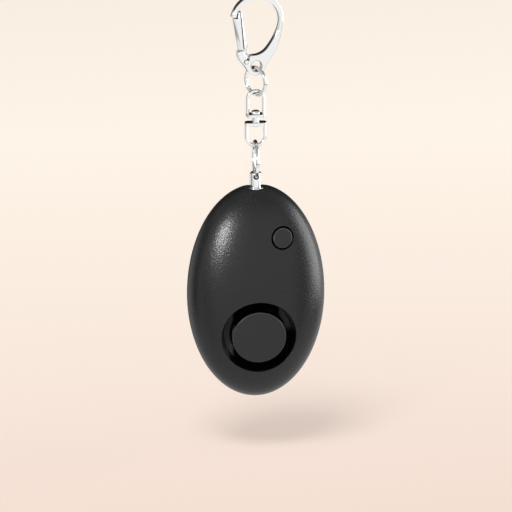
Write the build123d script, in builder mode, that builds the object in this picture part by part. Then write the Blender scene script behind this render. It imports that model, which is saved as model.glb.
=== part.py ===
from build123d import *
from math import cos, radians, sin, sqrt, tan
import os

# Personal emergency buzzer that hangs from a snap hook.
# Millimetres, +Z up, -Y is the side with the sound outlet and the button.
# The origin is the point of the hook's bow that bears on whatever carries it.

# Snap hook, drawn in its own upright plane
hook_yaw = 11.0
hook_thickness = 2.2
bow_band = 1.66
bow_half_width = 6.66
bow_widest_below = 8.3
bow_shoulder = 4.4
throat_depth = 16.2
throat_half_width = 3.2
throat_rise = 1.7
hook_width_right = 8.02
hook_widest_below = 7.2
flank_draw = 1.76
flank_rise = 1.62
eye_land = 1.94
eye_radius = 1.5
eye_wall = 1.3
eye_rim_round = 0.45
nose_tip_left = 7.4
nose_tip_below = 4.8
nose_width = 1.45

# Gate of the snap hook
gate_thickness = 1.9
gate_width_top = 3.4
gate_width_foot = 2.85
gate_lean_left = 6.93
gate_foot_left = 5.3
gate_foot_rise = 1.6
gate_tail_thickness = 1.1
gate_shoulder_gap = 0.35
gate_tongue_rise = 1.9
gate_bevel = 0.8
gate_slot_clearance = 0.1
gate_slot_room = 1.1
rivet_radius = 0.55
rivet_left = 3.09
rivet_drop = 1.93
rivet_head_height = 0.12
running_gap = 0.05
gate_spring_thickness = 0.15
gate_spring_width = 0.9

# Jump rings
upper_ring_yaw = -52.5
upper_ring_bend = 4.02
upper_ring_wire = 1.1
lower_ring_bend = 5.15
lower_ring_wire = 1.0
ring_slit = 2.2
link_gap = 0.1

# Swivel between the two rings
swivel_wire = 1.0
upper_loop_width = 5.65
upper_loop_height = 8.2
lower_loop_width = 6.34
lower_loop_height = 7.6
swivel_plate_depth = 3.3
swivel_plate_thickness = 0.95
swivel_plate_gap = 1.5
swivel_corner = 1.2
swivel_rivet_radius = 0.75
swivel_head_radius = 1.3
swivel_head_height = 0.95
swivel_collar_radius = 1.05

# Pull pin
pin_head_radius = 1.7
pin_head_height = 4.5
pin_head_cap = 0.45
pin_eye_radius = 0.8
flange_radius = 2.55
flange_thickness = 0.9
shank_radius = 1.2
shank_length = 9.1
tip_radius = 0.6
tip_length = 3.5
socket_clearance = 0.08

# Egg-shaped casing
casing_half_width = 20.0
casing_half_depth = 11.25
casing_above_widest = 32.4
casing_below_widest = 31.15
casing_flat_drop = 0.7
wall = 1.6
lip_height = 0.8
lip_clearance = 0.1
recess_clearance = 0.25
socket_wall = 0.8

# Sound outlet
outlet_below_widest = 11.0
outlet_radius = 10.85
outlet_foot_radius = 8.7
outlet_straight = 1.6
outlet_floor_y = -2.6
outlet_wall = 2.9
disc_radius = 7.76
disc_thickness = 1.5
disc_face_y = -9.85
disc_tilt = 8.45
disc_edge_round = 0.25
stem_radius = 2.8
spider_height = 1.4
spider_arm_width = 1.5
spider_rim_width = 0.9
spider_gap = 0.8
seat_clearance = 0.05

# Piezo sounder
piezo_radius = 12.4
piezo_thickness = 0.3
ceramic_radius = 9.5
ceramic_thickness = 0.25

# Push button and its switch
button_right = 6.9
button_above_widest = 18.3
button_radius = 2.8
button_hole_radius = 3.3
button_proud = 0.3
button_edge_round = 0.3
button_flange_radius = 3.85
button_flange_thickness = 0.8
button_seat_y = -4.8
button_seat_radius = 4.6
button_travel = 0.3
switch_side = 6.0
switch_height = 3.5
plunger_radius = 1.7
plunger_in_body = 0.8

# Circuit board and what it carries
board_front_y = 2.2
board_thickness = 1.0
board_above_widest = 27.2
board_below_gap = 0.3
board_clearance = 0.5
board_post_radius = 1.0
board_post_right = 5.6
board_post_above_widest = 24.7
coil_left = 6.6
coil_post_gap = 0.5
coil_radius = 3.0
coil_height = 4.0
coil_core_radius = 1.3
coil_flange = 0.7
chip_width = 4.9
chip_height = 3.9
chip_thickness = 1.5

# Button cells and their contacts
cell_radius = 5.8
cell_length = 5.4
cell_count = 3
cell_cap_radius = 5.0
cell_cap_height = 0.5
cell_edge_round = 0.3
cells_above_widest = 8.2
cells_y = 1.0
cradle_clearance = 0.2
rib_thickness = 1.0
rib_spread = 4.0
contact_thickness = 0.3
contact_width = 5.0
contact_below_axis = 4.0
contact_gap = 0.1
cell_spring_wire = 0.5
cell_spring_radius = 2.6
cell_spring_turns = 2
cell_spring_pitch = 0.95
blade_thickness = 0.2
blade_gap = 0.15
blade_depth = 2.9
blade_overlap = 1.5
blade_board_gap = 0.3

# Leads from the sounder to the board
lead_radius = 0.35
lead_gap = 0.4
lead_spread = 2.5
lead_rise = 4.5
lead_turn_rise = 12.0
lead_bend = 4.0
lead_end_rise = 1.5

# Case screws, driven in from the rear
screw_radius = 0.95
screw_head_radius = 1.75
screw_head_height = 1.2
screw_length = 6.2
screw_seat_y = 3.6
screw_recess_clearance = 0.25
screw_hole_clearance = 0.15
screw_boss_wall = 1.15
side_screw_right = 14.2
side_screw_above_widest = 4.7
foot_screw_below_widest = 26.8
cross_width = 0.5
cross_depth = 0.6

os.makedirs("parts", exist_ok=True)


def upright(yaw, height=0.0):
    """Vertical plane whose local X points yaw degrees from +X and whose local Y is up."""
    across = (cos(radians(yaw)), sin(radians(yaw)), 0)
    out = (sin(radians(yaw)), -cos(radians(yaw)), 0)
    return Plane(origin=(0, 0, height), x_dir=across, z_dir=out)


def save(part, name):
    """Label a finished piece and write its STEP file."""
    part.label = name
    export_step(part, f"parts/{name}.step")


# Heights of the chain, from the hook down to the casing
eye_below = throat_depth + eye_land + eye_radius
rivet_below = throat_depth + rivet_drop
gate_foot_below = throat_depth - gate_foot_rise
eye_crossing = radians(hook_yaw - upper_ring_yaw)
eye_half_path = hook_thickness / 2 / sin(eye_crossing)
eye_sag = upper_ring_bend - sqrt(upper_ring_bend ** 2 - eye_half_path ** 2)
eye_wire_z = -eye_below - eye_radius + upper_ring_wire / 2 + link_gap + eye_sag
upper_ring_z = eye_wire_z - upper_ring_bend
upper_bar_z = upper_ring_z - upper_ring_bend + (upper_ring_wire + swivel_wire) / 2 + link_gap
upper_plate_bottom = upper_bar_z + swivel_wire / 2 - upper_loop_height
lower_plate_top = upper_plate_bottom - swivel_plate_gap
lower_bar_z = lower_plate_top - lower_loop_height + swivel_wire / 2
lower_ring_top = lower_bar_z + (swivel_wire + lower_ring_wire) / 2 + link_gap
lower_ring_z = lower_ring_top - lower_ring_bend
pin_wire_z = lower_ring_z - lower_ring_bend
pin_eye_z = pin_wire_z - lower_ring_wire / 2 - link_gap + pin_eye_radius
pin_head_top = pin_eye_z + pin_eye_radius + pin_head_cap
casing_top = pin_head_top - pin_head_height
widest_z = casing_top + casing_flat_drop - casing_above_widest
flange_bottom = casing_top - flange_thickness
tip_bottom = flange_bottom - shank_length - tip_length

# Snap hook: one flat casting, its bow, nose and lower eye in a single outline
hook_plane = upright(hook_yaw)
foot_right = eye_radius + eye_wall
foot_z = -eye_below - foot_right
cheek_left = gate_foot_left + 0.25
cheek_top = -gate_foot_below - 0.1
cheek_right = rivet_left + 0.6
heel_draw = eye_radius - 0.3
pocket_right = rivet_left - 0.9
slot_right = gate_slot_room - pocket_right
slot_width = gate_tail_thickness + 2 * gate_slot_clearance
tail_radius = rivet_radius + 0.75
nose_tip = (-nose_tip_left, -nose_tip_below)
with BuildPart() as snap_hook:
    with BuildSketch(hook_plane):
        with BuildLine():
            crown = (0, bow_band)
            nose_outer = ThreePointArc(nose_tip, (-nose_tip_left / 2, 0.3 * bow_band), crown)
            shoulder = TangentArc(
                crown, (hook_width_right, -hook_widest_below), tangent=nose_outer % 1
            )
            flank = Spline(
                shoulder @ 1,
                (hook_width_right - flank_draw, flank_rise - throat_depth),
                (foot_right, -eye_below - 0.4),
                tangents=[shoulder % 1, (-0.55, -0.85)],
            )
            foot = ThreePointArc(flank @ 1, (0, foot_z), (-foot_right + 0.1, -eye_below - 1.1))
            back = Spline(
                foot @ 1,
                (-rivet_left - heel_draw, -rivet_below - heel_draw / 3),
                (-cheek_left, cheek_top - 1.4),
                tangents=[(-0.5, 0.85), (-0.1, 1)],
            )
            horn_end = (-cheek_right, cheek_top - 0.7)
            horn = ThreePointArc(back @ 1, (-cheek_left + 0.75, cheek_top), horn_end)
            horn_edge = Line(horn @ 1, (-rivet_left, -throat_depth - 0.3))
            throat_lip = Line(horn_edge @ 1, (slot_right, -throat_depth - 0.1))
            throat = ThreePointArc(
                throat_lip @ 1,
                (0.4 * throat_half_width, throat_rise / 6 - throat_depth),
                (throat_half_width, throat_rise - throat_depth),
            )
            bow_side = TangentArc(throat @ 1, (bow_half_width, -bow_widest_below), tangent=throat % 1)
            bow_top = ThreePointArc(bow_side @ 1, (bow_shoulder, -bow_shoulder / 3.25), (0, 0))
            nose_heel = (-nose_tip_left + nose_width, -nose_tip_below)
            nose_inner = ThreePointArc((0, 0), (-nose_tip_left / 2, -nose_tip_below / 5), nose_heel)
            Line(nose_inner @ 1, nose_tip)
        make_face()
    extrude(amount=hook_thickness / 2, both=True)
    with BuildSketch(hook_plane):
        with Locations((0, -eye_below)):
            Circle(eye_radius)
    extrude(amount=hook_thickness, both=True, mode=Mode.SUBTRACT)
    rims = snap_hook.edges().filter_by(GeomType.CIRCLE)
    fillet(rims.filter_by(lambda edge: abs(edge.radius - eye_radius) < 0.01), eye_rim_round)
    with BuildSketch(hook_plane):
        with BuildLine():
            Polyline(
                (-cheek_left - 1, cheek_top + 1),
                (slot_right, cheek_top + 1),
                (slot_right, -throat_depth - 0.7),
                (-pocket_right + 0.4, -rivet_below - tail_radius),
                (-cheek_left - 1, -rivet_below - tail_radius),
                close=True,
            )
        make_face()
    extrude(amount=slot_width / 2, both=True, mode=Mode.SUBTRACT)
    with BuildSketch(hook_plane):
        with BuildLine():
            Polyline(
                (-rivet_left - 0.35, -throat_depth + 0.5),
                (-pocket_right, -throat_depth + 0.5),
                (-pocket_right, -rivet_below + 0.5),
                (-rivet_left + 0.1, -rivet_below + 1.0),
                close=True,
            )
        make_face()
        with Locations((-rivet_left, -rivet_below)):
            Circle(rivet_radius)
    extrude(amount=hook_thickness, both=True, mode=Mode.SUBTRACT)
save(snap_hook.part, "snap_hook")

# Rivet that the gate turns on, its heads flush with the hook's two cheeks
with BuildPart() as gate_rivet:
    with BuildSketch(hook_plane):
        with Locations((-rivet_left, -rivet_below)):
            Circle(rivet_radius)
    extrude(amount=hook_thickness / 2 + rivet_head_height, both=True)
    fillet(gate_rivet.edges().filter_by(GeomType.CIRCLE), rivet_head_height * 0.8)
save(gate_rivet.part, "gate_rivet")

# Gate: a bevelled bar with a tongue inside the nose and a thin tail in the hook's slot
gate_top_z = -nose_tip_below - gate_shoulder_gap
tongue_left = -nose_tip_left + nose_width + gate_shoulder_gap
gate_right = -gate_lean_left + gate_width_top
gate_foot_right = -gate_foot_left + gate_width_foot
with BuildPart() as hook_gate:
    with BuildSketch(hook_plane):
        with BuildLine():
            Polyline(
                (-gate_lean_left, gate_top_z),
                (tongue_left, gate_top_z),
                (tongue_left + 0.1, gate_top_z + gate_tongue_rise),
                (gate_right - 1.0, gate_top_z + gate_tongue_rise),
                (gate_right, gate_top_z - 0.2),
                (gate_foot_right, -gate_foot_below),
                (-gate_foot_left, -gate_foot_below),
                close=True,
            )
        make_face()
    extrude(amount=gate_thickness / 2, both=True)
    chamfer(hook_gate.edges().filter_by(lambda edge: edge.length > 5), gate_bevel)
    with BuildSketch(hook_plane):
        with BuildLine():
            Polyline(
                (-gate_foot_left + 0.5, -gate_foot_below + 0.5),
                (gate_foot_right - 0.15, -gate_foot_below + 0.5),
                (-rivet_left + 0.75, -rivet_below + 0.6),
                (-rivet_left - 0.9, -rivet_below + 0.3),
                close=True,
            )
        make_face()
        with Locations((-rivet_left, -rivet_below)):
            Circle(tail_radius - 0.3)
    extrude(amount=gate_tail_thickness / 2, both=True)
    with BuildSketch(hook_plane):
        with Locations((-rivet_left, -rivet_below)):
            Circle(rivet_radius + running_gap)
    extrude(amount=gate_thickness, both=True, mode=Mode.SUBTRACT)
save(hook_gate.part, "hook_gate")

# Gate spring: a bowed leaf that stands on the floor of the slot, beside the gate's tail
slot_floor = -rivet_below - tail_radius
with BuildPart() as gate_spring:
    with BuildSketch(hook_plane):
        with BuildLine():
            ThreePointArc(
                (-pocket_right + 0.25, slot_floor),
                (-pocket_right + 0.5, slot_floor + 1.2),
                (slot_right - 0.15, -throat_depth - 0.7),
            )
        trace(line_width=gate_spring_thickness)
        with Locations((-pocket_right - 0.3, slot_floor)):
            Rectangle(1.0, gate_spring_thickness, align=(Align.CENTER, Align.MIN))
    extrude(amount=gate_spring_width / 2, both=True)
save(gate_spring.part, "gate_spring")


def jump_ring(plane, bend_radius, wire):
    """Round wire bent to a circle, its two ends butted at the local +X side."""
    with BuildPart() as ring:
        with BuildLine(plane) as bend:
            CenterArc((0, 0), bend_radius, ring_slit / 2, 360 - ring_slit)
        with BuildSketch(Plane(origin=bend.line @ 0, z_dir=bend.line % 0)):
            Circle(wire / 2)
        revolve(axis=Axis(plane.origin, plane.z_dir), revolution_arc=360 - ring_slit)
    return ring.part


upper_jump_ring = jump_ring(upright(upper_ring_yaw, upper_ring_z), upper_ring_bend, upper_ring_wire)
save(upper_jump_ring, "upper_jump_ring")
lower_jump_ring = jump_ring(upright(-90, lower_ring_z), lower_ring_bend, lower_ring_wire)
save(lower_jump_ring, "lower_jump_ring")


def swivel_loop(width, bar_z, plate_z, hole_radius):
    """Bail of the swivel: a U of round wire on a flat plate that holds the rivet."""
    bend = (width - swivel_wire) / 2
    rise = 1 if bar_z > plate_z else -1
    bend_z = bar_z - rise * bend
    foot_z = plate_z + rise * swivel_plate_thickness / 2
    with BuildPart() as loop:
        with BuildLine(Plane.XZ) as bail:
            leg = Line((bend, foot_z), (bend, bend_z))
            arch = CenterArc((0, bend_z), bend, 0, rise * 180)
            Line(arch @ 1, (-bend, foot_z))
        with BuildSketch(Plane(origin=leg @ 0, z_dir=leg % 0)):
            Circle(swivel_wire / 2)
        sweep(path=bail.line)
        with BuildSketch(Plane.XY.offset(plate_z)):
            RectangleRounded(width, swivel_plate_depth, swivel_corner)
        extrude(amount=rise * swivel_plate_thickness)
        with BuildSketch(Plane.XY.offset(plate_z - rise)):
            Circle(hole_radius)
        extrude(amount=rise * (swivel_plate_thickness + 1.5), mode=Mode.SUBTRACT)
    return loop.part


upper_loop = swivel_loop(
    upper_loop_width, upper_bar_z, upper_plate_bottom, swivel_rivet_radius + running_gap
)
save(upper_loop, "swivel_top_loop")
lower_loop = swivel_loop(lower_loop_width, lower_bar_z, lower_plate_top, swivel_rivet_radius)
save(lower_loop, "swivel_bottom_loop")

# Rivet of the swivel: domed head above, collar between the plates, flared tail below
upper_plate_top = upper_plate_bottom + swivel_plate_thickness
lower_plate_bottom = lower_plate_top - swivel_plate_thickness
head_seat = upper_plate_top + running_gap
tail_height = swivel_plate_thickness / 2
with BuildPart() as swivel_rivet:
    with BuildSketch(Plane.XY.offset(head_seat)):
        Circle(swivel_head_radius)
    extrude(amount=swivel_head_height)
    fillet(swivel_rivet.faces().sort_by(Axis.Z)[-1].edges(), 0.8 * swivel_head_height)
    with BuildSketch(Plane.XY.offset(lower_plate_bottom - tail_height)):
        Circle(swivel_collar_radius)
    extrude(amount=tail_height)
    fillet(swivel_rivet.faces().sort_by(Axis.Z)[0].edges(), 0.6 * tail_height)
    with BuildSketch(Plane.XY.offset(lower_plate_top)):
        Circle(swivel_collar_radius)
    extrude(amount=swivel_plate_gap - running_gap)
    with BuildSketch(Plane.XY.offset(lower_plate_bottom)):
        Circle(swivel_rivet_radius)
    extrude(amount=head_seat - lower_plate_bottom)
save(swivel_rivet.part, "swivel_rivet")

# Head of the pull pin: an eyed knob on a round flange
with BuildPart() as pull_pin_head:
    with BuildSketch(Plane.XY.offset(flange_bottom)):
        Circle(flange_radius)
    extrude(amount=flange_thickness)
    fillet(pull_pin_head.faces().sort_by(Axis.Z)[-1].edges(), flange_thickness / 3)
    with BuildSketch(Plane.XY.offset(flange_bottom)):
        Circle(pin_head_radius)
    extrude(amount=pin_head_top - flange_bottom)
    fillet(pull_pin_head.faces().sort_by(Axis.Z)[-1].edges(), pin_head_radius * 0.45)
    with BuildSketch(Plane.XZ):
        with Locations((0, pin_eye_z)):
            Circle(pin_eye_radius)
    extrude(amount=2 * pin_head_radius, both=True, mode=Mode.SUBTRACT)
save(pull_pin_head.part, "pull_pin_head")

# Insulating shank that holds the contacts apart while the pin is in
with BuildPart() as pull_pin_shank:
    with BuildSketch(Plane.XY.offset(flange_bottom)):
        Circle(shank_radius)
    extrude(amount=-shank_length)
    with BuildSketch(Plane.XY.offset(flange_bottom - shank_length)):
        Circle(tip_radius)
    extrude(amount=-tip_length)
    chamfer(pull_pin_shank.edges().filter_by(GeomType.CIRCLE).sort_by(Axis.Z)[0], tip_radius * 0.4)
save(pull_pin_shank.part, "pull_pin_shank")


def half_egg(inset, side):
    """Half of the egg: a half outline of two elliptical arcs given half a turn, then flattened in Y.

    side is -1 for the front and 1 for the rear.
    """
    half_width = casing_half_width - inset
    half_depth = casing_half_depth - inset
    above = casing_above_widest - inset
    below = casing_below_widest - inset
    with BuildPart() as body:
        with BuildSketch(Plane.XZ):
            with BuildLine():
                EllipticalCenterArc((0, widest_z), half_width, above, 0, arc_size=90)
                EllipticalCenterArc((0, widest_z), half_width, below, 270, arc_size=90)
                Line((0, widest_z + above), (0, widest_z - below))
            make_face()
        revolve(axis=Axis((0, 0, 0), (0, 0, side)), revolution_arc=180)
        scale(by=(1, half_depth / half_width, 1))
    return body.part


def parting_face(inset):
    """The casing's outline on the parting plane, drawn in by the inset, as a filled sketch."""
    half_width = casing_half_width - inset
    with BuildSketch(Plane.XZ) as face:
        with BuildLine():
            EllipticalCenterArc((0, widest_z), half_width, casing_above_widest - inset, 0, arc_size=180)
            EllipticalCenterArc((0, widest_z), half_width, casing_below_widest - inset, 180, arc_size=180)
        make_face()
    return face.sketch


def depth_at(x, z, inset=0.0):
    """How far the egg's surface, drawn in by the inset, stands from the parting plane."""
    height = casing_above_widest if z > widest_z else casing_below_widest
    share = (x / (casing_half_width - inset)) ** 2 + ((z - widest_z) / (height - inset)) ** 2
    return (casing_half_depth - inset) * sqrt(max(0, 1 - share))


def facing_front(x, z, y):
    """Upright plane at depth y whose normal points to the front."""
    return Plane(origin=(x, y, z), x_dir=(1, 0, 0), z_dir=(0, -1, 0))


def facing_rear(x, z, y):
    """Upright plane at depth y whose normal points to the rear."""
    return Plane(origin=(x, y, z), x_dir=(-1, 0, 0), z_dir=(0, 1, 0))


# Places that several pieces share
outlet_z = widest_z - outlet_below_widest
button_z = widest_z + button_above_widest
cells_z = widest_z + cells_above_widest
side_screw_z = widest_z + side_screw_above_widest
foot_screw_z = widest_z - foot_screw_below_widest
screw_places = [(-side_screw_right, side_screw_z), (side_screw_right, side_screw_z), (0, foot_screw_z)]
screw_boss_radius = screw_radius + screw_hole_clearance + screw_boss_wall
screw_recess_radius = screw_head_radius + screw_recess_clearance
board_top_z = widest_z + board_above_widest
board_bottom_z = cells_z + cell_radius + board_below_gap
board_rear_y = board_front_y + board_thickness
board_post_z = widest_z + board_post_above_widest
board_posts = [(-board_post_right, 0), (board_post_right, 0)]
piezo_back_y = outlet_floor_y + piezo_thickness
socket_radius = shank_radius + socket_clearance
guide_bottom = flange_bottom - shank_length + 0.6
recess_floor = flange_bottom - running_gap
stack_half = cell_count * cell_length / 2
funnel_top_y = -depth_at(outlet_radius, outlet_z) + outlet_straight


def cradle_ribs(side):
    """Two ribs that hold the row of cells; side is -1 for the front and 1 for the rear."""
    with BuildPart() as ribs:
        middle_y = cells_y + side * casing_half_depth / 2
        with Locations((-rib_spread, middle_y, cells_z), (rib_spread, middle_y, cells_z)):
            Box(rib_thickness, casing_half_depth, 1.7 * cell_radius)
        with Locations(Plane(origin=(0, cells_y, cells_z), x_dir=(0, 1, 0), z_dir=(1, 0, 0))):
            Cylinder(cell_radius + cradle_clearance, 2 * casing_half_width, mode=Mode.SUBTRACT)
        add(half_egg(wall / 2, side), mode=Mode.INTERSECT)
    return ribs.part


def guide_half(side):
    """Half of the tube that guides the pin's shank, split on the parting plane."""
    with BuildPart() as guide:
        with BuildSketch(Plane.XY.offset(guide_bottom)):
            Circle(socket_radius + socket_wall)
        extrude(amount=casing_top - guide_bottom)
        add(half_egg(wall / 2, side), mode=Mode.INTERSECT)
    return guide.part


# Room for the pull pin: the egg's cut top, the recess of the flange and the bore of the shank
with BuildPart() as pin_socket:
    with BuildSketch(Plane.XY.offset(casing_top)):
        Circle(casing_half_width)
    extrude(amount=casing_above_widest)
    with BuildSketch(Plane.XY.offset(recess_floor)):
        Circle(flange_radius + recess_clearance)
    extrude(amount=casing_above_widest)
    with BuildSketch(Plane.XY.offset(guide_bottom - 1)):
        Circle(socket_radius)
    extrude(amount=casing_above_widest)

# Front shell: the wall, the outlet's funnel, the button's seat, bosses, ribs and a lip
with BuildPart() as front_fittings:
    with BuildSketch(facing_front(0, outlet_z, piezo_back_y + 0.4)):
        Circle(outlet_radius + outlet_wall)
    extrude(amount=casing_half_depth)
    with BuildSketch(facing_front(button_right, button_z, button_seat_y)):
        Circle(button_seat_radius)
    extrude(amount=casing_half_depth)
    with BuildSketch(Plane.XZ):
        with Locations(*screw_places):
            Circle(screw_boss_radius)
    extrude(amount=casing_half_depth)
    with BuildSketch(facing_front(0, board_post_z, 0)):
        with Locations(*board_posts):
            Circle(board_post_radius)
    extrude(amount=casing_half_depth)
    add(half_egg(wall / 2, -1), mode=Mode.INTERSECT)
    with BuildSketch(facing_front(0, board_post_z, board_front_y)):
        with Locations(*board_posts):
            Circle(board_post_radius)
    extrude(amount=board_front_y)

with BuildPart() as front_shell:
    add(half_egg(0, -1))
    add(half_egg(wall, -1), mode=Mode.SUBTRACT)
    add(front_fittings.part)
    add(cradle_ribs(-1))
    add(guide_half(-1))
    with BuildSketch(Plane.XZ):
        add(parting_face(wall / 2))
        add(parting_face(wall), mode=Mode.SUBTRACT)
    extrude(amount=-lip_height)
    with BuildSketch(Plane.YZ):
        with BuildLine():
            Polyline(
                (0, outlet_z),
                (0, outlet_z + piezo_radius + 0.15),
                (outlet_floor_y, outlet_z + piezo_radius + 0.15),
                (outlet_floor_y, outlet_z + outlet_foot_radius),
                (funnel_top_y, outlet_z + outlet_radius),
                (-2 * casing_half_depth, outlet_z + outlet_radius),
                (-2 * casing_half_depth, outlet_z),
                close=True,
            )
        make_face()
    revolve(axis=Axis((0, 0, outlet_z), (0, 1, 0)), mode=Mode.SUBTRACT)
    with BuildSketch(facing_front(button_right, button_z, 0)):
        Circle(button_hole_radius)
    extrude(amount=2 * casing_half_depth, mode=Mode.SUBTRACT)
    with BuildSketch(Plane.XZ.offset(-lip_height)):
        with Locations(*screw_places):
            Circle(screw_radius + running_gap)
    extrude(amount=screw_length - screw_seat_y + 0.4 + lip_height, mode=Mode.SUBTRACT)
    add(pin_socket.part, mode=Mode.SUBTRACT)
save(front_shell.part, "front_shell")

# Rear shell: the wall, three screw recesses and bosses, board posts, ribs and a rebate
with BuildPart() as rear_fittings:
    with BuildSketch(facing_rear(0, 0, 0)):
        with Locations(*screw_places):
            Circle(screw_boss_radius)
    extrude(amount=casing_half_depth)
    with BuildSketch(facing_rear(0, 0, screw_seat_y - screw_boss_wall)):
        with Locations(*screw_places):
            Circle(screw_recess_radius + screw_boss_wall - 0.15)
    extrude(amount=casing_half_depth)
    with BuildSketch(facing_rear(0, board_post_z, board_rear_y)):
        with Locations(*board_posts):
            Circle(board_post_radius)
    extrude(amount=casing_half_depth)
    add(half_egg(wall / 2, 1), mode=Mode.INTERSECT)

with BuildPart() as rear_shell:
    add(half_egg(0, 1))
    add(half_egg(wall, 1), mode=Mode.SUBTRACT)
    add(rear_fittings.part)
    add(cradle_ribs(1))
    add(guide_half(1))
    with BuildSketch(Plane.XZ):
        add(parting_face(wall / 2 - lip_clearance))
        add(parting_face(wall + lip_clearance), mode=Mode.SUBTRACT)
    extrude(amount=-lip_height - lip_clearance, mode=Mode.SUBTRACT)
    with BuildSketch(facing_rear(0, 0, screw_seat_y)):
        with Locations(*screw_places):
            Circle(screw_recess_radius)
    extrude(amount=casing_half_depth, mode=Mode.SUBTRACT)
    with BuildSketch(facing_rear(0, 0, 0)):
        with Locations(*screw_places):
            Circle(screw_radius + screw_hole_clearance)
    extrude(amount=casing_half_depth, mode=Mode.SUBTRACT)
    add(pin_socket.part, mode=Mode.SUBTRACT)
save(rear_shell.part, "rear_shell")


# Sound cap: a flat disc in the mouth of the outlet, on a stem with three arms and a seating rim
spider_front_y = outlet_floor_y - spider_gap - spider_height
spider_back_y = outlet_floor_y - spider_gap
funnel_slope = (outlet_radius - outlet_foot_radius) / (outlet_floor_y - funnel_top_y)
rim_back = outlet_foot_radius + funnel_slope * spider_gap - seat_clearance
rim_front = rim_back + funnel_slope * spider_height
disc_normal = (0, -cos(radians(disc_tilt)), -sin(radians(disc_tilt)))
disc_back_y = disc_face_y + disc_radius * tan(radians(disc_tilt)) + disc_thickness
outlet_axis = Axis((0, 0, outlet_z), (0, 1, 0))
with BuildPart() as sound_cap:
    with BuildSketch(Plane.YZ):
        with BuildLine():
            Polyline(
                (spider_back_y, outlet_z),
                (spider_back_y, outlet_z + stem_radius),
                (disc_back_y + 1.0, outlet_z + stem_radius),
                (disc_back_y, outlet_z + disc_radius),
                (-casing_half_depth, outlet_z + disc_radius),
                (-casing_half_depth, outlet_z),
                close=True,
            )
        make_face()
    revolve(axis=outlet_axis)
    split(bisect_by=Plane(origin=(0, disc_face_y, outlet_z), z_dir=disc_normal), keep=Keep.BOTTOM)
    fillet(sound_cap.faces().sort_by(Axis.Y)[0].edges(), disc_edge_round)
    with BuildSketch(Plane.YZ):
        with BuildLine():
            Polyline(
                (spider_back_y, outlet_z + rim_back - spider_rim_width),
                (spider_back_y, outlet_z + rim_back),
                (spider_front_y, outlet_z + rim_front),
                (spider_front_y, outlet_z + rim_back - spider_rim_width),
                close=True,
            )
        make_face()
    revolve(axis=outlet_axis)
    with BuildSketch(facing_front(0, outlet_z, spider_back_y)):
        with PolarLocations(0, 3, start_angle=90):
            with Locations((rim_back / 2, 0)):
                Rectangle(rim_back - spider_rim_width / 2, spider_arm_width)
    extrude(amount=spider_height)
save(sound_cap.part, "sound_cap")

# Sounder: a thin brass plate on the funnel's ledge with a ceramic disc behind it
with BuildPart() as piezo_plate:
    with BuildSketch(facing_rear(0, outlet_z, outlet_floor_y)):
        Circle(piezo_radius)
    extrude(amount=piezo_thickness)
save(piezo_plate.part, "piezo_plate")

with BuildPart() as piezo_ceramic:
    with BuildSketch(facing_rear(0, outlet_z, piezo_back_y)):
        Circle(ceramic_radius)
    extrude(amount=ceramic_thickness)
save(piezo_ceramic.part, "piezo_ceramic")

# Push button: a round cap whose top follows the egg, with a flange behind the wall
button_surface_y = -depth_at(button_right, button_z)
button_normal = (
    button_right / casing_half_width ** 2,
    button_surface_y / casing_half_depth ** 2,
    button_above_widest / casing_above_widest ** 2,
)
flange_front_y = button_seat_y + running_gap
flange_back_y = flange_front_y + button_flange_thickness
button_face = Plane(origin=(button_right, button_surface_y - button_proud, button_z), z_dir=button_normal)
with BuildPart() as push_button:
    with BuildSketch(facing_front(button_right, button_z, flange_front_y)):
        Circle(button_radius)
    extrude(amount=casing_half_depth)
    split(bisect_by=button_face, keep=Keep.BOTTOM)
    fillet(push_button.faces().sort_by(Axis.Y)[0].edges(), button_edge_round)
    with BuildSketch(facing_front(button_right, button_z, flange_back_y)):
        Circle(button_flange_radius)
    extrude(amount=button_flange_thickness)
save(push_button.part, "push_button")

# Tactile switch on the board and the plunger that the button presses
switch_front_y = board_front_y - switch_height
with BuildPart() as tact_switch_body:
    with BuildSketch(facing_front(button_right, button_z, board_front_y)):
        Rectangle(switch_side, switch_side)
    extrude(amount=switch_height)
    fillet(tact_switch_body.edges().filter_by(Axis.Y), switch_side / 12)
    with BuildSketch(facing_rear(button_right, button_z, switch_front_y)):
        Circle(plunger_radius + running_gap)
    extrude(amount=plunger_in_body + button_travel + 2 * running_gap, mode=Mode.SUBTRACT)
save(tact_switch_body.part, "tact_switch_body")

with BuildPart() as tact_switch_plunger:
    with BuildSketch(facing_front(button_right, button_z, switch_front_y + plunger_in_body)):
        Circle(plunger_radius)
    extrude(amount=switch_front_y + plunger_in_body - flange_back_y)
save(tact_switch_plunger.part, "tact_switch_plunger")

# Circuit board behind the pin, its outline drawn in from the casing's cavity
board_inset = wall + board_clearance
board_share = sqrt(1 - (board_rear_y / (casing_half_depth - board_inset)) ** 2)
with BuildPart() as circuit_board:
    with BuildSketch(facing_front(0, 0, board_front_y)):
        with Locations((0, widest_z)):
            Ellipse(
                (casing_half_width - board_inset) * board_share,
                (casing_above_widest - board_inset) * board_share,
            )
        with Locations((0, (board_top_z + board_bottom_z) / 2)):
            Rectangle(2 * casing_half_width, board_top_z - board_bottom_z, mode=Mode.INTERSECT)
    extrude(amount=-board_thickness)
save(circuit_board.part, "circuit_board")

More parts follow.
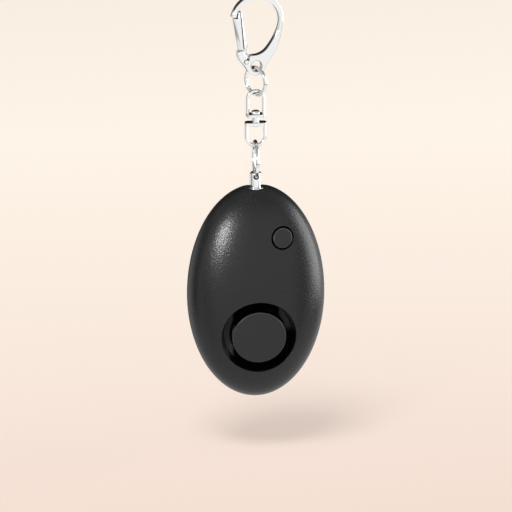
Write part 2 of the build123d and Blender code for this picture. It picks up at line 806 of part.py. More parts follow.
# Step-up coil: a drum core and its winding, on the board's front
coil_z = board_post_z - board_post_radius - coil_post_gap - coil_radius
coil_axis = Axis((-coil_left, 0, coil_z), (0, 1, 0))
coil_front_y = board_front_y - coil_height
coil_plane = Plane(origin=(-coil_left, 0, coil_z), x_dir=(0, 1, 0), z_dir=(1, 0, 0))
with BuildPart() as coil_core:
    with BuildSketch(coil_plane):
        with BuildLine():
            Polyline(
                (board_front_y, 0),
                (board_front_y, coil_radius),
                (board_front_y - coil_flange, coil_radius),
                (board_front_y - coil_flange, coil_core_radius),
                (coil_front_y + coil_flange, coil_core_radius),
                (coil_front_y + coil_flange, coil_radius),
                (coil_front_y, coil_radius),
                (coil_front_y, 0),
                close=True,
            )
        make_face()
    revolve(axis=coil_axis)
save(coil_core.part, "coil_core")

with BuildPart() as coil_winding:
    with BuildSketch(facing_front(-coil_left, coil_z, board_front_y - coil_flange)):
        Circle(coil_radius - coil_flange / 3)
        Circle(coil_core_radius, mode=Mode.SUBTRACT)
    extrude(amount=coil_height - 2 * coil_flange)
save(coil_winding.part, "coil_winding")

# Driver chip on the board's rear
with BuildPart() as driver_chip:
    with BuildSketch(facing_rear(0, coil_z, board_rear_y)):
        Rectangle(chip_width, chip_height)
    extrude(amount=chip_thickness)
    chamfer(driver_chip.faces().sort_by(Axis.Y)[-1].edges(), chip_thickness / 8)
save(driver_chip.part, "driver_chip")

# Row of button cells, each a can with a smaller cap towards the spring
for index in range(cell_count):
    cell_left = -stack_half + index * cell_length
    with BuildPart() as button_cell:
        with BuildSketch(Plane(origin=(cell_left, cells_y, cells_z), x_dir=(0, 1, 0), z_dir=(1, 0, 0))):
            Circle(cell_radius)
        extrude(amount=cell_length - cell_cap_height)
        fillet(button_cell.edges().filter_by(GeomType.CIRCLE), cell_edge_round)
        with BuildSketch(Plane(origin=(cell_left, cells_y, cells_z), x_dir=(0, 1, 0), z_dir=(1, 0, 0))):
            Circle(cell_cap_radius)
        extrude(amount=cell_length)
    save(button_cell.part, f"button_cell_{index + 1}")


def cell_contact(left_x, name):
    """Upright contact strip beside the row of cells, up to the board's lower edge."""
    with BuildPart() as strip:
        strip_bottom = cells_z - contact_below_axis
        with Locations((left_x, cells_y, strip_bottom)):
            Box(
                contact_thickness,
                contact_width,
                board_bottom_z - strip_bottom,
                align=(Align.MIN, Align.CENTER, Align.MIN),
            )
    save(strip.part, name)


cell_contact(-stack_half - contact_gap - contact_thickness, "cell_contact_plate")
spring_left = stack_half + contact_gap
spring_length = cell_spring_turns * cell_spring_pitch + cell_spring_wire
cell_contact(spring_left + spring_length + contact_gap, "cell_spring_plate")

# Coil spring that presses on the row of cells
print("cell spring, gap between turns:", round(cell_spring_pitch - cell_spring_wire, 3))
with BuildPart() as cell_contact_spring:
    with BuildLine():
        turns = Helix(
            cell_spring_pitch,
            cell_spring_turns * cell_spring_pitch,
            cell_spring_radius,
            center=(spring_left + cell_spring_wire / 2, cells_y, cells_z),
            direction=(1, 0, 0),
        )
    with BuildSketch(Plane(origin=turns @ 0, z_dir=turns % 0)):
        Circle(cell_spring_wire / 2)
    sweep(path=turns, is_frenet=True)
save(cell_contact_spring.part, "cell_contact_spring")


def blade(left_x, back_y, name):
    """Flat contact strip that stands beside the pin's tip."""
    with BuildPart() as strip:
        with Locations((left_x, back_y, board_bottom_z)):
            Box(
                blade_thickness,
                blade_depth,
                tip_bottom + blade_overlap - board_bottom_z,
                align=(Align.MIN, Align.MAX, Align.MIN),
            )
    save(strip.part, name)


blade(tip_radius + blade_gap, board_front_y, "fixed_contact")
blade(-tip_radius - blade_gap - blade_thickness, board_front_y - blade_board_gap, "contact_blade")

# Two leads from the sounder, past the end of the cells, to the board's front
lead_back_y = board_front_y - lead_radius
lead_start_y = piezo_back_y + 0.9
lead_left = stack_half + contact_gap + contact_thickness + 0.6 + lead_radius
with BuildPart() as piezo_leads:
    for number in range(2):
        lead_x = -lead_left - number * (2 * lead_radius + lead_gap)
        with BuildLine() as route:
            FilletPolyline(
                (lead_x + lead_spread * (1 - 0.8 * number), lead_start_y, outlet_z + lead_rise),
                (lead_x, lead_start_y + 0.2, outlet_z + lead_turn_rise),
                (lead_x, 0.6, cells_z - 1.0),
                (lead_x, lead_back_y, board_bottom_z + lead_end_rise),
                radius=lead_bend,
            )
        with BuildSketch(Plane(origin=route.line @ 0, z_dir=route.line % 0)):
            Circle(lead_radius)
        sweep(path=route.line)
save(piezo_leads.part, "piezo_leads")

# Case screws: round heads with a cross recess and a pointed shank
with BuildPart() as screw:
    with BuildSketch(Plane.XY):
        with BuildLine():
            Polyline(
                (0, screw_head_height),
                (0, -screw_length),
                (screw_radius, -screw_length + screw_radius),
                (screw_radius, 0),
                (screw_head_radius, 0),
                (screw_head_radius, screw_head_height / 2),
            )
            RadiusArc(
                (screw_head_radius, screw_head_height / 2), (0, screw_head_height), -2 * screw_head_radius
            )
        make_face()
    revolve(axis=Axis.Y)
    with BuildSketch(Plane.XZ.offset(-screw_head_height)):
        Rectangle(cross_width, 1.25 * screw_head_radius)
        Rectangle(1.25 * screw_head_radius, cross_width)
    extrude(amount=cross_depth, mode=Mode.SUBTRACT)

with BuildPart() as case_screws:
    with Locations(*[(x, screw_seat_y, z) for x, z in screw_places]):
        add(screw.part)
save(case_screws.part, "case_screws")
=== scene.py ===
import math

import bmesh
import bpy
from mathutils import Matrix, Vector


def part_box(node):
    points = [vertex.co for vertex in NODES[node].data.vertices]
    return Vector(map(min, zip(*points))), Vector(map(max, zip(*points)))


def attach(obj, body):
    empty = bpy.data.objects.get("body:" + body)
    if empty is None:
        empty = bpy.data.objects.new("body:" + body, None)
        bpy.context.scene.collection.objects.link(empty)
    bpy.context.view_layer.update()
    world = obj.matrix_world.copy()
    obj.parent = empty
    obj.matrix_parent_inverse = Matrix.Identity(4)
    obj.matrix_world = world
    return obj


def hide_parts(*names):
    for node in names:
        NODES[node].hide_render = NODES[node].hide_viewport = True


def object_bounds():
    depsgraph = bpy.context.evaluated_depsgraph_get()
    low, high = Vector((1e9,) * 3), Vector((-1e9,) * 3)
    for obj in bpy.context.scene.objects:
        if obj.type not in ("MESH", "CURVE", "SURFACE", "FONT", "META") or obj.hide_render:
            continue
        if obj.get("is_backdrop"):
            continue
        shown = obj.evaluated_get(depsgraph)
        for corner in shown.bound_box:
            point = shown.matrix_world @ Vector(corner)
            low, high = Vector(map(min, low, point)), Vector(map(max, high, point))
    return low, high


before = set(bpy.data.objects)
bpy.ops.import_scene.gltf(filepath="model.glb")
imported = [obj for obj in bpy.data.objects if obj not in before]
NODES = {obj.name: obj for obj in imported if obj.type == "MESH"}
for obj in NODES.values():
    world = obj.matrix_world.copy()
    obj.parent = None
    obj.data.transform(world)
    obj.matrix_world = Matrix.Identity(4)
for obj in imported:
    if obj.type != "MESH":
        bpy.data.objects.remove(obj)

bl_info = {
    "name": "Emergency buzzer",
    "version": (1, 0, 0),
    "blender": (4, 5, 0),
    "location": "View3D > Sidebar > Buzzer",
    "description": "Dresses the egg-shaped emergency buzzer and its chain, and sets its stage",
    "category": "Object",
}

MM = 0.001

# Loose triangles of a CAD mesh are joined at this distance, and made one face up to this angle.
MERGE_DISTANCE = 0.002 * MM
FLAT_ANGLE = math.radians(0.3)

# Outer edges over this angle are rounded, in so many steps. What is still over the other angle is
# shaded sharp.
CRISP_ANGLE = math.radians(50)
SHARP_ANGLE = math.radians(40)
BEVEL_STEPS = 3

# A point is on the egg's surface where its share is this near to 1.
ON_EGG = 0.003

# Rounding of the other plated pieces, as shares of the hook's.
GATE_SHARE = 0.4
BAIL_SHARE = 0.7
PIN_SHARE = 0.5

# Band in which the set-back wall of the hook's eye runs out into the flat round it.
EYE_BAND = 0.5 * MM
EYE_FADE = 0.2 * MM

# Plating: spacing and height of its waves, unevenness of its colour, and width of the painted shade
# in its crevices.
PLATE_GRAIN = 1.1 * MM
PIN_GRAIN = 0.9 * MM
PLATE_WAVES = 0.006 * MM
PLATE_VARIATION = 0.02
PLATE_CREVICE_SHADE = 0.45 * MM
PIN_ROUGHNESS = 0.12

# Greys of black plastic: its painted shade, and painted light where light would reach the funnel
# and the caps' depths.
PAINTED_SHADE_GREY = 0.002
PAINTED_LIGHT_FUNNEL = 0.04
PAINTED_LIGHT_DEPTH = 0.07

# Camera: its direction, the height that it frames and the point at which it looks.
AZIMUTH = math.radians(-6.5)
ELEVATION = math.radians(16.0)
SENSOR_WIDTH = 36
FRAMED = 148.2 * MM
TARGET = Vector((0.1 * MM, 0, -76.65 * MM))
FAR_CLIP = 50

# Floor: half its side, how its colour runs with depth, and the share and strength of its own light.
FLOOR_SIZE = 6.0
RAMP_SLOPE = 2.0
RAMP_START = 0.3
GLOW_SHARE = 0.6
GLOW_STRENGTH = 1.08
BOUNCE_GREY = 0.45

# Lamps: width, height and place from the middle of the part, in metres.
KEY_LAMP = (0.06, 0.10, Vector((-0.705, -0.725, 0.298)))
SIDE_LAMP = (0.60, 0.75, Vector((1.0, 0.08, 0.08)))
SHADOW_LAMP = (0.40, 0.40, Vector((-0.24, -0.45, 0.85)))


class BuzzerCasing(bpy.types.PropertyGroup):
    """Sizes and colours of the egg, its sound cap and its button."""

    shell_colour: bpy.props.FloatVectorProperty(
        name="Shell colour", description="Soft-touch coat of both shells",
        subtype="COLOR", min=0, max=1, default=(0.010, 0.010, 0.0102),
    )
    cap_colour: bpy.props.FloatVectorProperty(
        name="Cap colour", description="Sound cap and push button",
        subtype="COLOR", min=0, max=1, default=(0.012, 0.012, 0.0122),
    )
    grain_size: bpy.props.FloatProperty(
        name="Grain size", description="Spacing of the coat's fine grain",
        unit="LENGTH", default=0.45 * MM, precision=6,
    )
    rim_round: bpy.props.FloatProperty(
        name="Rim round",
        description="Rounding of the outlet's rim and of the seam between the shells",
        unit="LENGTH", default=0.15 * MM, precision=6,
    )
    outlet_radius: bpy.props.FloatProperty(
        name="Outlet radius",
        description="Radius inside which the front shell is the outlet's funnel",
        unit="LENGTH", default=10.86 * MM, precision=6,
    )
    disc_radius: bpy.props.FloatProperty(
        name="Disc radius", description="Radius of the sound cap's disc",
        unit="LENGTH", default=7.76 * MM, precision=6,
    )
    disc_face: bpy.props.FloatProperty(
        name="Disc face", description="Place in Y of the middle of the disc's face",
        unit="LENGTH", default=-9.85 * MM, precision=6,
    )
    disc_tilt: bpy.props.FloatProperty(
        name="Disc tilt", description="Lean of the disc's face, which follows the egg",
        unit="ROTATION", default=math.radians(8.45),
    )
    button_proud: bpy.props.FloatProperty(
        name="Button proud", description="Height of the button's face over the egg",
        unit="LENGTH", default=0.3 * MM, precision=6,
    )
    button_radius: bpy.props.FloatProperty(
        name="Button radius", description="Radius of the push button's cap",
        unit="LENGTH", default=2.8 * MM, precision=6,
    )
    below_widest: bpy.props.FloatProperty(
        name="Below widest", description="Height of the egg below its widest place",
        unit="LENGTH", default=31.15 * MM, precision=6,
    )
    above_widest: bpy.props.FloatProperty(
        name="Above widest", description="Height of the whole egg above its widest place",
        unit="LENGTH", default=32.4 * MM, precision=6,
    )


class BuzzerChain(bpy.types.PropertyGroup):
    """Sizes and colours of the hook, rings, swivel and pin."""

    plate_colour: bpy.props.FloatVectorProperty(
        name="Plate colour", description="Bright plating of the chain",
        subtype="COLOR", min=0, max=1, default=(0.93, 0.93, 0.93),
    )
    plate_roughness: bpy.props.FloatProperty(
        name="Plate roughness", description="Dullness of the plating", min=0, max=1, default=0.06,
    )
    eye_below: bpy.props.FloatProperty(
        name="Eye below",
        description="Height of the top of the throat over the middle of the hook's eye",
        unit="LENGTH", default=19.64 * MM, precision=6,
    )
    eye_radius: bpy.props.FloatProperty(
        name="Eye radius", description="Radius of the hook's eye in the CAD",
        unit="LENGTH", default=1.5 * MM, precision=6,
    )
    eye_room: bpy.props.FloatProperty(
        name="Eye room", description="How far the eye's wall is set back for the ring's swing",
        unit="LENGTH", default=0.08 * MM, precision=6,
    )
    edge_round: bpy.props.FloatProperty(
        name="Edge round", description="Rounding of the casting's edges",
        unit="LENGTH", default=0.3 * MM, precision=6,
    )


class BuzzerStage(bpy.types.PropertyGroup):
    """Floor, lamps and camera."""

    floor_colour: bpy.props.FloatVectorProperty(
        name="Floor colour", description="Far part of the pale floor",
        subtype="COLOR", min=0, max=1, default=(1.0, 0.915, 0.81),
    )
    near_colour: bpy.props.FloatVectorProperty(
        name="Near colour", description="Part of the pale floor in front of the buzzer",
        subtype="COLOR", min=0, max=1, default=(0.775, 0.605, 0.535),
    )
    floor_drop: bpy.props.FloatProperty(
        name="Floor drop",
        description="Height of the casing above the floor, with room to pull it off its pin",
        unit="LENGTH", default=16 * MM,
    )
    key_power: bpy.props.FloatProperty(
        name="Key power", description="Small lamp at the front left, seen only as a highlight",
        unit="POWER", default=8.0,
    )
    side_power: bpy.props.FloatProperty(
        name="Side power", description="Wide lamp at the right", unit="POWER", default=8.0,
    )
    shadow_power: bpy.props.FloatProperty(
        name="Shadow power",
        description="Wide lamp above and in front that throws the floor's shadow",
        unit="POWER", default=9.0,
    )
    lens: bpy.props.FloatProperty(
        name="Lens", description="Focal length of the camera in millimetres", default=600,
    )


class Signal:
    """An output of a shader node. Sums, products and the like add Math nodes."""

    def __init__(self, recipe, socket):
        self.recipe = recipe
        self.socket = socket

    def _maths(self, operation, first, second=0.0):
        return self.recipe.node(
            "ShaderNodeMath", {"operation": operation}, {0: first, 1: second}
        )

    def __add__(self, other):
        return self._maths("ADD", self, other)

    __radd__ = __add__

    def __sub__(self, other):
        return self._maths("SUBTRACT", self, other)

    def __rsub__(self, other):
        return self._maths("SUBTRACT", other, self)

    def __mul__(self, other):
        return self._maths("MULTIPLY", self, other)

    __rmul__ = __mul__

    def clamped(self, low, high):
        return self._maths("MINIMUM", self._maths("MAXIMUM", self, low), high)

    def rises(self, low, high):
        """0 below low, 1 above high, and a smooth step between. A low above high falls instead."""
        return self.recipe.node(
            "ShaderNodeMapRange", {"interpolation_type": "SMOOTHSTEP"},
            {"Value": self, "From Min": low, "From Max": high},
        )


class Recipe:
    """A node tree and the one way in which nodes are added to it."""

    def __init__(self, owner):
        owner.use_nodes = True
        self.owner = owner
        self.tree = owner.node_tree
        self.tree.nodes.clear()

    def node(self, kind, settings=(), inputs=(), output=0):
        made = self.tree.nodes.new(kind)
        for key, value in dict(settings).items():
            if key == "stops":
                self._stops(made.color_ramp, value)
            else:
                setattr(made, key, value)
        for key, value in dict(inputs).items():
            if isinstance(value, Signal):
                self.tree.links.new(value.socket, made.inputs[key])
            else:
                made.inputs[key].default_value = value
        if len(made.outputs) == 0:
            return None
        return Signal(self, made.outputs[output])

    def _stops(self, ramp, stops):
        while len(ramp.elements) < len(stops):
            ramp.elements.new(0.5)
        for element, (place, colour) in zip(ramp.elements, stops):
            element.position = place
            element.color = colour

    def place(self, axis):
        """One coordinate on the piece."""
        where = self.node("ShaderNodeTexCoord", output="Object")
        return self.node("ShaderNodeSeparateXYZ", {}, {"Vector": where}, output=axis)

    def noise(self, size, detail=2.0):
        """Noise on the piece's own coordinates, its lumps about the given size apart."""
        where = self.node("ShaderNodeTexCoord", output="Object")
        return self.node(
            "ShaderNodeTexNoise", {}, {"Vector": where, "Scale": 1 / size, "Detail": detail}
        )

    def bump(self, distance, height):
        """Normal that follows a height."""
        return self.node(
            "ShaderNodeBump", {}, {"Strength": 1.0, "Distance": distance, "Height": height}
        )

    def plastic(self, inputs):
        """Principled shader."""
        return self.node("ShaderNodeBsdfPrincipled", {}, inputs)

    def material(self, surface):
        """Ends the recipe with its surface, and gives the material."""
        self.node("ShaderNodeOutputMaterial", {}, {"Surface": surface})
        return self.owner

    def blend(self, factor, low, high):
        """Colour between low and high."""
        return self.node(
            "ShaderNodeMix", {"data_type": "RGBA"}, {0: factor, 6: low, 7: high}, output=2
        )


def opaque(colour, share=1.0):
    return (colour[0] * share, colour[1] * share, colour[2] * share, 1.0)


def grey(level):
    return (level, level, level, 1.0)


def off_axis(recipe, centre):
    """Distance from an axis that runs from front to rear through the centre."""
    where = recipe.node("ShaderNodeTexCoord", output="Object")
    flat = recipe.node(
        "ShaderNodeVectorMath", {"operation": "MULTIPLY"}, {0: where, 1: (1, 0, 1)}
    )
    return recipe.node(
        "ShaderNodeVectorMath", {"operation": "DISTANCE"},
        {0: flat, 1: (centre[0], 0, centre[2])}, output="Value",
    )


def finish(name, colour, metallic, roughness, grain=0.3 * MM, depth=0.0, variation=0.06,
           specular=0.5, coat=0.0, crevice_shade=0.0):
    """Procedural finish: even colour with slight clouds, a grain that also roughens it, and painted
    shade that darkens its crevices.
    """
    recipe = Recipe(bpy.data.materials.new(name))
    clouds = recipe.noise(7 * MM, 3.0)
    speck = recipe.noise(grain)
    base = recipe.blend(clouds, opaque(colour, 1 - variation), opaque(colour, 1 + variation))
    if crevice_shade:
        # Painted shade: ambient occlusion darkens the colour in crevices and between parts, where
        # shade falls.
        openness = recipe.node(
            "ShaderNodeAmbientOcclusion", {"samples": 8}, {"Distance": crevice_shade}, output="AO"
        )
        base = recipe.blend(openness.rises(0.25, 0.75), opaque(colour, 0.08), base)
    dull = roughness + (clouds - 0.5) * (0.3 * roughness) + (speck - 0.5) * (0.2 * roughness)
    inputs = {
        "Base Color": base,
        "Roughness": dull.clamped(0.03, 1.0),
        "Metallic": metallic,
        "Specular IOR Level": specular,
        "Coat Weight": coat,
    }
    if depth:
        inputs["Normal"] = recipe.bump(depth, speck)
    return recipe.material(recipe.plastic(inputs))


def painted_light_flanks(recipe, centre, radius):
    """Mask of painted light: 1 on the left and upper right flanks of a round opening, where light
    would reach, 0 elsewhere.
    """
    across = recipe.place("X")
    height = recipe.place("Z")
    left = (centre[0] - across).rises(0.72 * radius, 0.82 * radius)
    right = (across - centre[0]).rises(0.62 * radius, 0.72 * radius)
    raised = (height - centre[2]).rises(0.0, 0.3 * radius)
    return left + right * raised


def cap_finish(name, colour, middle, outward, edge):
    """Satin black of a round cap, with a painted highlight that makes its rim a little lighter, and
    painted shade behind its face, lighter on its flanks as painted light.

    middle is a point of the face, outward the face's normal and edge the face's radius.
    """
    recipe = Recipe(bpy.data.materials.new(name))
    where = recipe.node("ShaderNodeTexCoord", output="Object")
    inward = -Vector(outward).normalized()
    depth = recipe.node(
        "ShaderNodeVectorMath", {"operation": "DOT_PRODUCT"}, {0: where, 1: inward}, output="Value"
    ) - inward.dot(middle)
    speck = recipe.noise(0.4 * MM)
    clouds = recipe.noise(5 * MM)
    face = recipe.blend(clouds, opaque(colour, 0.94), opaque(colour, 1.06))
    # Painted highlight: a ring at the rim of the face is painted four times lighter.
    painted_rim_highlight = off_axis(recipe, middle).rises(edge - 0.25 * MM, edge - 0.05 * MM)
    satin = recipe.plastic({
        "Base Color": recipe.blend(painted_rim_highlight, face, opaque(colour, 4)),
        "Roughness": 0.44 + (speck - 0.5) * 0.1,
        "Specular IOR Level": 0.4,
        "Normal": recipe.bump(0.012 * MM, speck),
    })
    # Painted shade: deeper than the face the cap is a matt black that mirrors nothing, lighter on
    # its left and upper right flanks as painted light.
    dark = recipe.plastic({
        "Base Color": recipe.blend(
            painted_light_flanks(recipe, middle, edge * 1.2), grey(PAINTED_SHADE_GREY), grey(PAINTED_LIGHT_DEPTH)
        ),
        "Roughness": 1.0,
        "Specular IOR Level": 0.0,
    })
    return recipe.material(recipe.node(
        "ShaderNodeMixShader", {}, {0: depth.rises(0.25 * MM, 0.6 * MM), 1: satin, 2: dark}
    ))


def soft_coat(name, colour, grain, outlet, radius):
    """Soft-touch coat with a sparkling grain, left off in the outlet, where the wall is smooth and
    painted near black as painted shade, with painted light on its left and upper right flanks.
    """
    recipe = Recipe(bpy.data.materials.new(name))
    front = recipe.place("Y").rises(0.0, -0.1 * MM)
    funnel = off_axis(recipe, outlet).rises(radius, radius - 0.05 * MM) * front
    clouds = recipe.noise(9 * MM)
    speck = recipe.noise(grain)
    coat = recipe.blend(clouds, opaque(colour, 0.92), opaque(colour, 1.08))
    # Painted shade and painted light: the funnel's smooth wall is painted darker than the coat, and
    # lighter on its left and upper right flanks.
    wall = recipe.blend(painted_light_flanks(recipe, outlet, radius), grey(PAINTED_SHADE_GREY), grey(PAINTED_LIGHT_FUNNEL))
    dull = 0.29 + (clouds - 0.5) * 0.05 + (speck - 0.5) * 0.14
    return recipe.material(recipe.plastic({
        "Base Color": recipe.blend(funnel, coat, wall),
        "Roughness": dull * (1 - funnel) + funnel * 0.22,
        "Specular IOR Level": 0.38,
        "Normal": recipe.bump(0.06 * MM, speck * (1 - funnel)),
    }))


def paint(obj, material):
    obj.data.materials.clear()
    obj.data.materials.append(material)


def dress(material, *names):
    """Gives a finish to CAD nodes that are shown as they are."""
    for name in names:
        paint(NODES[name], material)


def rounded(node, width, wanted=None):
    """A merged copy of a CAD node's mesh as a bmesh, with its crisp outer edges rounded."""
    mesh = bmesh.new()
    mesh.from_mesh(NODES[node].data)
    bmesh.ops.remove_doubles(mesh, verts=mesh.verts, dist=MERGE_DISTANCE)
    bmesh.ops.dissolve_limit(
        mesh, angle_limit=FLAT_ANGLE, verts=mesh.verts, edges=mesh.edges,
        use_dissolve_boundaries=False,
    )
    crisp = [
        edge for edge in mesh.edges
        if edge.is_manifold and edge.calc_face_angle_signed(0) > CRISP_ANGLE
        and (wanted is None or wanted(edge))
    ]
    bmesh.ops.bevel(
        mesh, geom=crisp, offset=width, offset_type="OFFSET", segments=BEVEL_STEPS, profile=0.5,
        affect="EDGES", material=-1, clamp_overlap=False,
    )
    return mesh


def piece(name, mesh, body, material, replaces, normals=None):
    """Turns a finished bmesh into a piece that rides on a body and stands for CAD nodes.

    normals takes the corners of a polygon and gives the true surface's normal at each, or zero
    where the mesh's own is right.
    """
    data = bpy.data.meshes.new(name)
    mesh.to_mesh(data)
    mesh.free()
    data.shade_smooth()
    data.set_sharp_from_angle(angle=SHARP_ANGLE)
    if normals:
        given = [(0.0, 0.0, 0.0)] * len(data.loops)
        for polygon in data.polygons:
            points = [data.vertices[index].co for index in polygon.vertices]
            for loop, normal in zip(polygon.loop_indices, normals(points)):
                given[loop] = normal
        data.normals_split_custom_set(given)
    obj = bpy.data.objects.new(name, data)
    bpy.context.scene.collection.objects.link(obj)
    paint(obj, material)
    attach(obj, body)
    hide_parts(*replaces)
    return obj


def widen_eye(mesh, height, radius, room):
    """Sets the wall of a round eye back, so that the ring clears its rim at the end of a swing."""
    for vert in mesh.verts:
        offset = Vector((vert.co.x, 0, vert.co.z - height))
        fade = (radius + EYE_BAND - offset.length) / EYE_FADE
        vert.co += offset.normalized() * (room * min(max(fade, 0.0), 1.0))


class BUZZER_OT_chain(bpy.types.Operator):
    """Round and finish the hook and its gate, and finish the rings and the swivel"""

    bl_idname = "buzzer.chain"
    bl_label = "Hook, rings and swivel"

    def execute(self, context):
        chain = context.scene.buzzer_chain
        plate = finish(
            "bright_plate", chain.plate_colour, 1.0, chain.plate_roughness, PLATE_GRAIN,
            PLATE_WAVES, PLATE_VARIATION, crevice_shade=PLATE_CREVICE_SHADE,
        )
        casting = rounded("snap_hook", chain.edge_round)
        widen_eye(casting, -chain.eye_below, chain.eye_radius, chain.eye_room)
        piece("hook_casting", casting, "hook", plate, ["snap_hook"])
        bar = rounded("hook_gate", GATE_SHARE * chain.edge_round)
        piece("gate_bar", bar, "gate", plate, ["hook_gate"])
        for side in ("top", "bottom"):
            bail = rounded(f"swivel_{side}_loop", BAIL_SHARE * chain.edge_round)
            piece(
                f"swivel_{side}_bail", bail, f"swivel_{side}", plate,
                [f"swivel_{side}_loop"],
            )
        dress(plate, "gate_rivet", "upper_jump_ring", "swivel_rivet", "lower_jump_ring")
        dress(finish("spring_steel", (0.55, 0.55, 0.54), 1.0, 0.3), "gate_spring")
        return {"FINISHED"}


class BUZZER_OT_pull_pin(bpy.types.Operator):
    """Finish the pull pin's head and shank"""

    bl_idname = "buzzer.pull_pin"
    bl_label = "Pull pin"

    def execute(self, context):
        chain = context.scene.buzzer_chain
        plate = finish(
            "pin_plate", chain.plate_colour, 1.0, PIN_ROUGHNESS, PIN_GRAIN, PLATE_WAVES,
            PLATE_VARIATION, crevice_shade=PLATE_CREVICE_SHADE,
        )
        head = rounded("pull_pin_head", PIN_SHARE * chain.edge_round)
        piece("pin_knob", head, "pull_pin", plate, ["pull_pin_head"])
        dress(finish("pin_plastic", (0.03, 0.03, 0.03), 0.0, 0.45), "pull_pin_shank")
        return {"FINISHED"}


def middle_of(node):
    """Middle of a CAD node's box."""
    low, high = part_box(node)
    return (low + high) / 2


class Egg:
    """The egg's surface: two half ellipsoids that meet at its widest height."""

    def __init__(self, casing):
        low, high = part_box("rear_shell")
        self.middle = Vector((0, 0, low.z + casing.below_widest))
        self.above = (high.x, high.y, casing.above_widest)
        self.below = (high.x, high.y, casing.below_widest)

    def axes(self, point):
        return self.above if point[2] > self.middle.z else self.below

    def share(self, point):
        """1 on the egg's surface, less inside it and more outside it."""
        offsets = zip(point, self.middle, self.axes(point))
        return sum(((place - centre) / axis) ** 2 for place, centre, axis in offsets)

    def carries(self, points):
        """Whether all the points are on the surface."""
        return all(abs(self.share(point) - 1) < ON_EGG for point in points)

    def normal(self, point):
        offsets = zip(point, self.middle, self.axes(point))
        slopes = [(place - centre) / axis ** 2 for place, centre, axis in offsets]
        return Vector(slopes).normalized()

    def front(self, point):
        """Place in Y of the egg's front at the point's width and height."""
        flat = (point[0], 0, point[2])
        return -self.above[1] * math.sqrt(1 - self.share(flat))


class BUZZER_OT_casing(bpy.types.Operator):
    """Finish the two shells and their screws"""

    bl_idname = "buzzer.casing"
    bl_label = "Casing"

    def execute(self, context):
        casing = context.scene.buzzer_casing
        outlet = middle_of("piezo_plate")
        egg = Egg(casing)

        def rim(edge):
            return egg.carries([corner.co for corner in edge.verts])

        def egg_normals(points):
            if egg.carries(points):
                return [egg.normal(point) for point in points]
            return [(0.0, 0.0, 0.0)] * len(points)

        coat = soft_coat(
            "soft_touch_coat", casing.shell_colour, casing.grain_size, outlet, casing.outlet_radius
        )
        for side in ("front", "rear"):
            shell = rounded(f"{side}_shell", casing.rim_round, rim)
            piece(
                f"{side}_cover", shell, "casing", coat, [f"{side}_shell"],
                egg_normals,
            )
        dress(finish("screw_steel", (0.35, 0.35, 0.36), 1.0, 0.35), "case_screws")
        return {"FINISHED"}


class BUZZER_OT_outlet(bpy.types.Operator):
    """Finish the sound cap and the sounder behind it"""

    bl_idname = "buzzer.outlet"
    bl_label = "Sound outlet"

    def execute(self, context):
        casing = context.scene.buzzer_casing
        middle = middle_of("piezo_plate")
        middle.y = casing.disc_face
        outward = (0, -math.cos(casing.disc_tilt), -math.sin(casing.disc_tilt))
        satin = cap_finish(
            "satin_black", casing.cap_colour, middle, outward, casing.disc_radius
        )
        dress(satin, "sound_cap")
        # Painted shade: the brass plate deep in the outlet is painted near black with almost no
        # reflection.
        painted_shade_brass = finish("brass_in_painted_shade", (0.003, 0.003, 0.003), 0.0, 0.8, specular=0.08)
        dress(painted_shade_brass, "piezo_plate")
        dress(finish("sounder_ceramic", (0.75, 0.73, 0.68), 0.0, 0.5), "piezo_ceramic")
        dress(finish("lead_jacket", (0.55, 0.04, 0.03), 0.0, 0.35), "piezo_leads")
        return {"FINISHED"}


class BUZZER_OT_button(bpy.types.Operator):
    """Finish the push button and its switch"""

    bl_idname = "buzzer.button"
    bl_label = "Push button"

    def execute(self, context):
        casing = context.scene.buzzer_casing
        egg = Egg(casing)
        middle = middle_of("push_button")
        middle.y = egg.front(middle)
        outward = egg.normal(middle)
        middle.y -= casing.button_proud
        satin = cap_finish(
            "button_satin", casing.cap_colour, middle, outward, casing.button_radius
        )
        dress(satin, "push_button")
        moulding = finish("switch_moulding", (0.03, 0.03, 0.033), 0.0, 0.4)
        dress(moulding, "tact_switch_body", "tact_switch_plunger")
        return {"FINISHED"}


class BUZZER_OT_inside(bpy.types.Operator):
    """Finish the board, the cells and the contacts"""

    bl_idname = "buzzer.inside"
    bl_label = "Inner pieces"

    def execute(self, context):
        dress(finish("board_laminate", (0.04, 0.20, 0.09), 0.0, 0.4, coat=0.3), "circuit_board")
        dress(finish("ferrite", (0.09, 0.09, 0.10), 0.0, 0.6), "coil_core")
        dress(finish("copper_winding", (0.62, 0.30, 0.14), 1.0, 0.35), "coil_winding")
        dress(finish("chip_moulding", (0.03, 0.03, 0.034), 0.0, 0.45), "driver_chip")
        nickel = finish("cell_nickel", (0.68, 0.67, 0.64), 1.0, 0.25)
        dress(nickel, "button_cell_1", "button_cell_2", "button_cell_3")
        dress(
            finish("contact_steel", (0.60, 0.60, 0.58), 1.0, 0.3),
            "cell_contact_plate", "cell_contact_spring", "cell_spring_plate", "fixed_contact",
            "contact_blade",
        )
        return {"FINISHED"}


def lamp(name, power, setting, target):
    """Rectangular lamp turned to a target, and not seen itself.

    setting is its width, its height and its place from the target.
    """
    width, height, place = setting
    light = bpy.data.lights.new(name, "AREA")
    light.shape = "RECTANGLE"
    light.size = width
    light.size_y = height
    light.energy = power
    obj = bpy.data.objects.new(name, light)
    obj.location = target + place
    obj.rotation_mode = "QUATERNION"
    obj.rotation_quaternion = (-place).to_track_quat("-Z", "Y")
    obj.visible_camera = False
    bpy.context.scene.collection.objects.link(obj)
    return obj


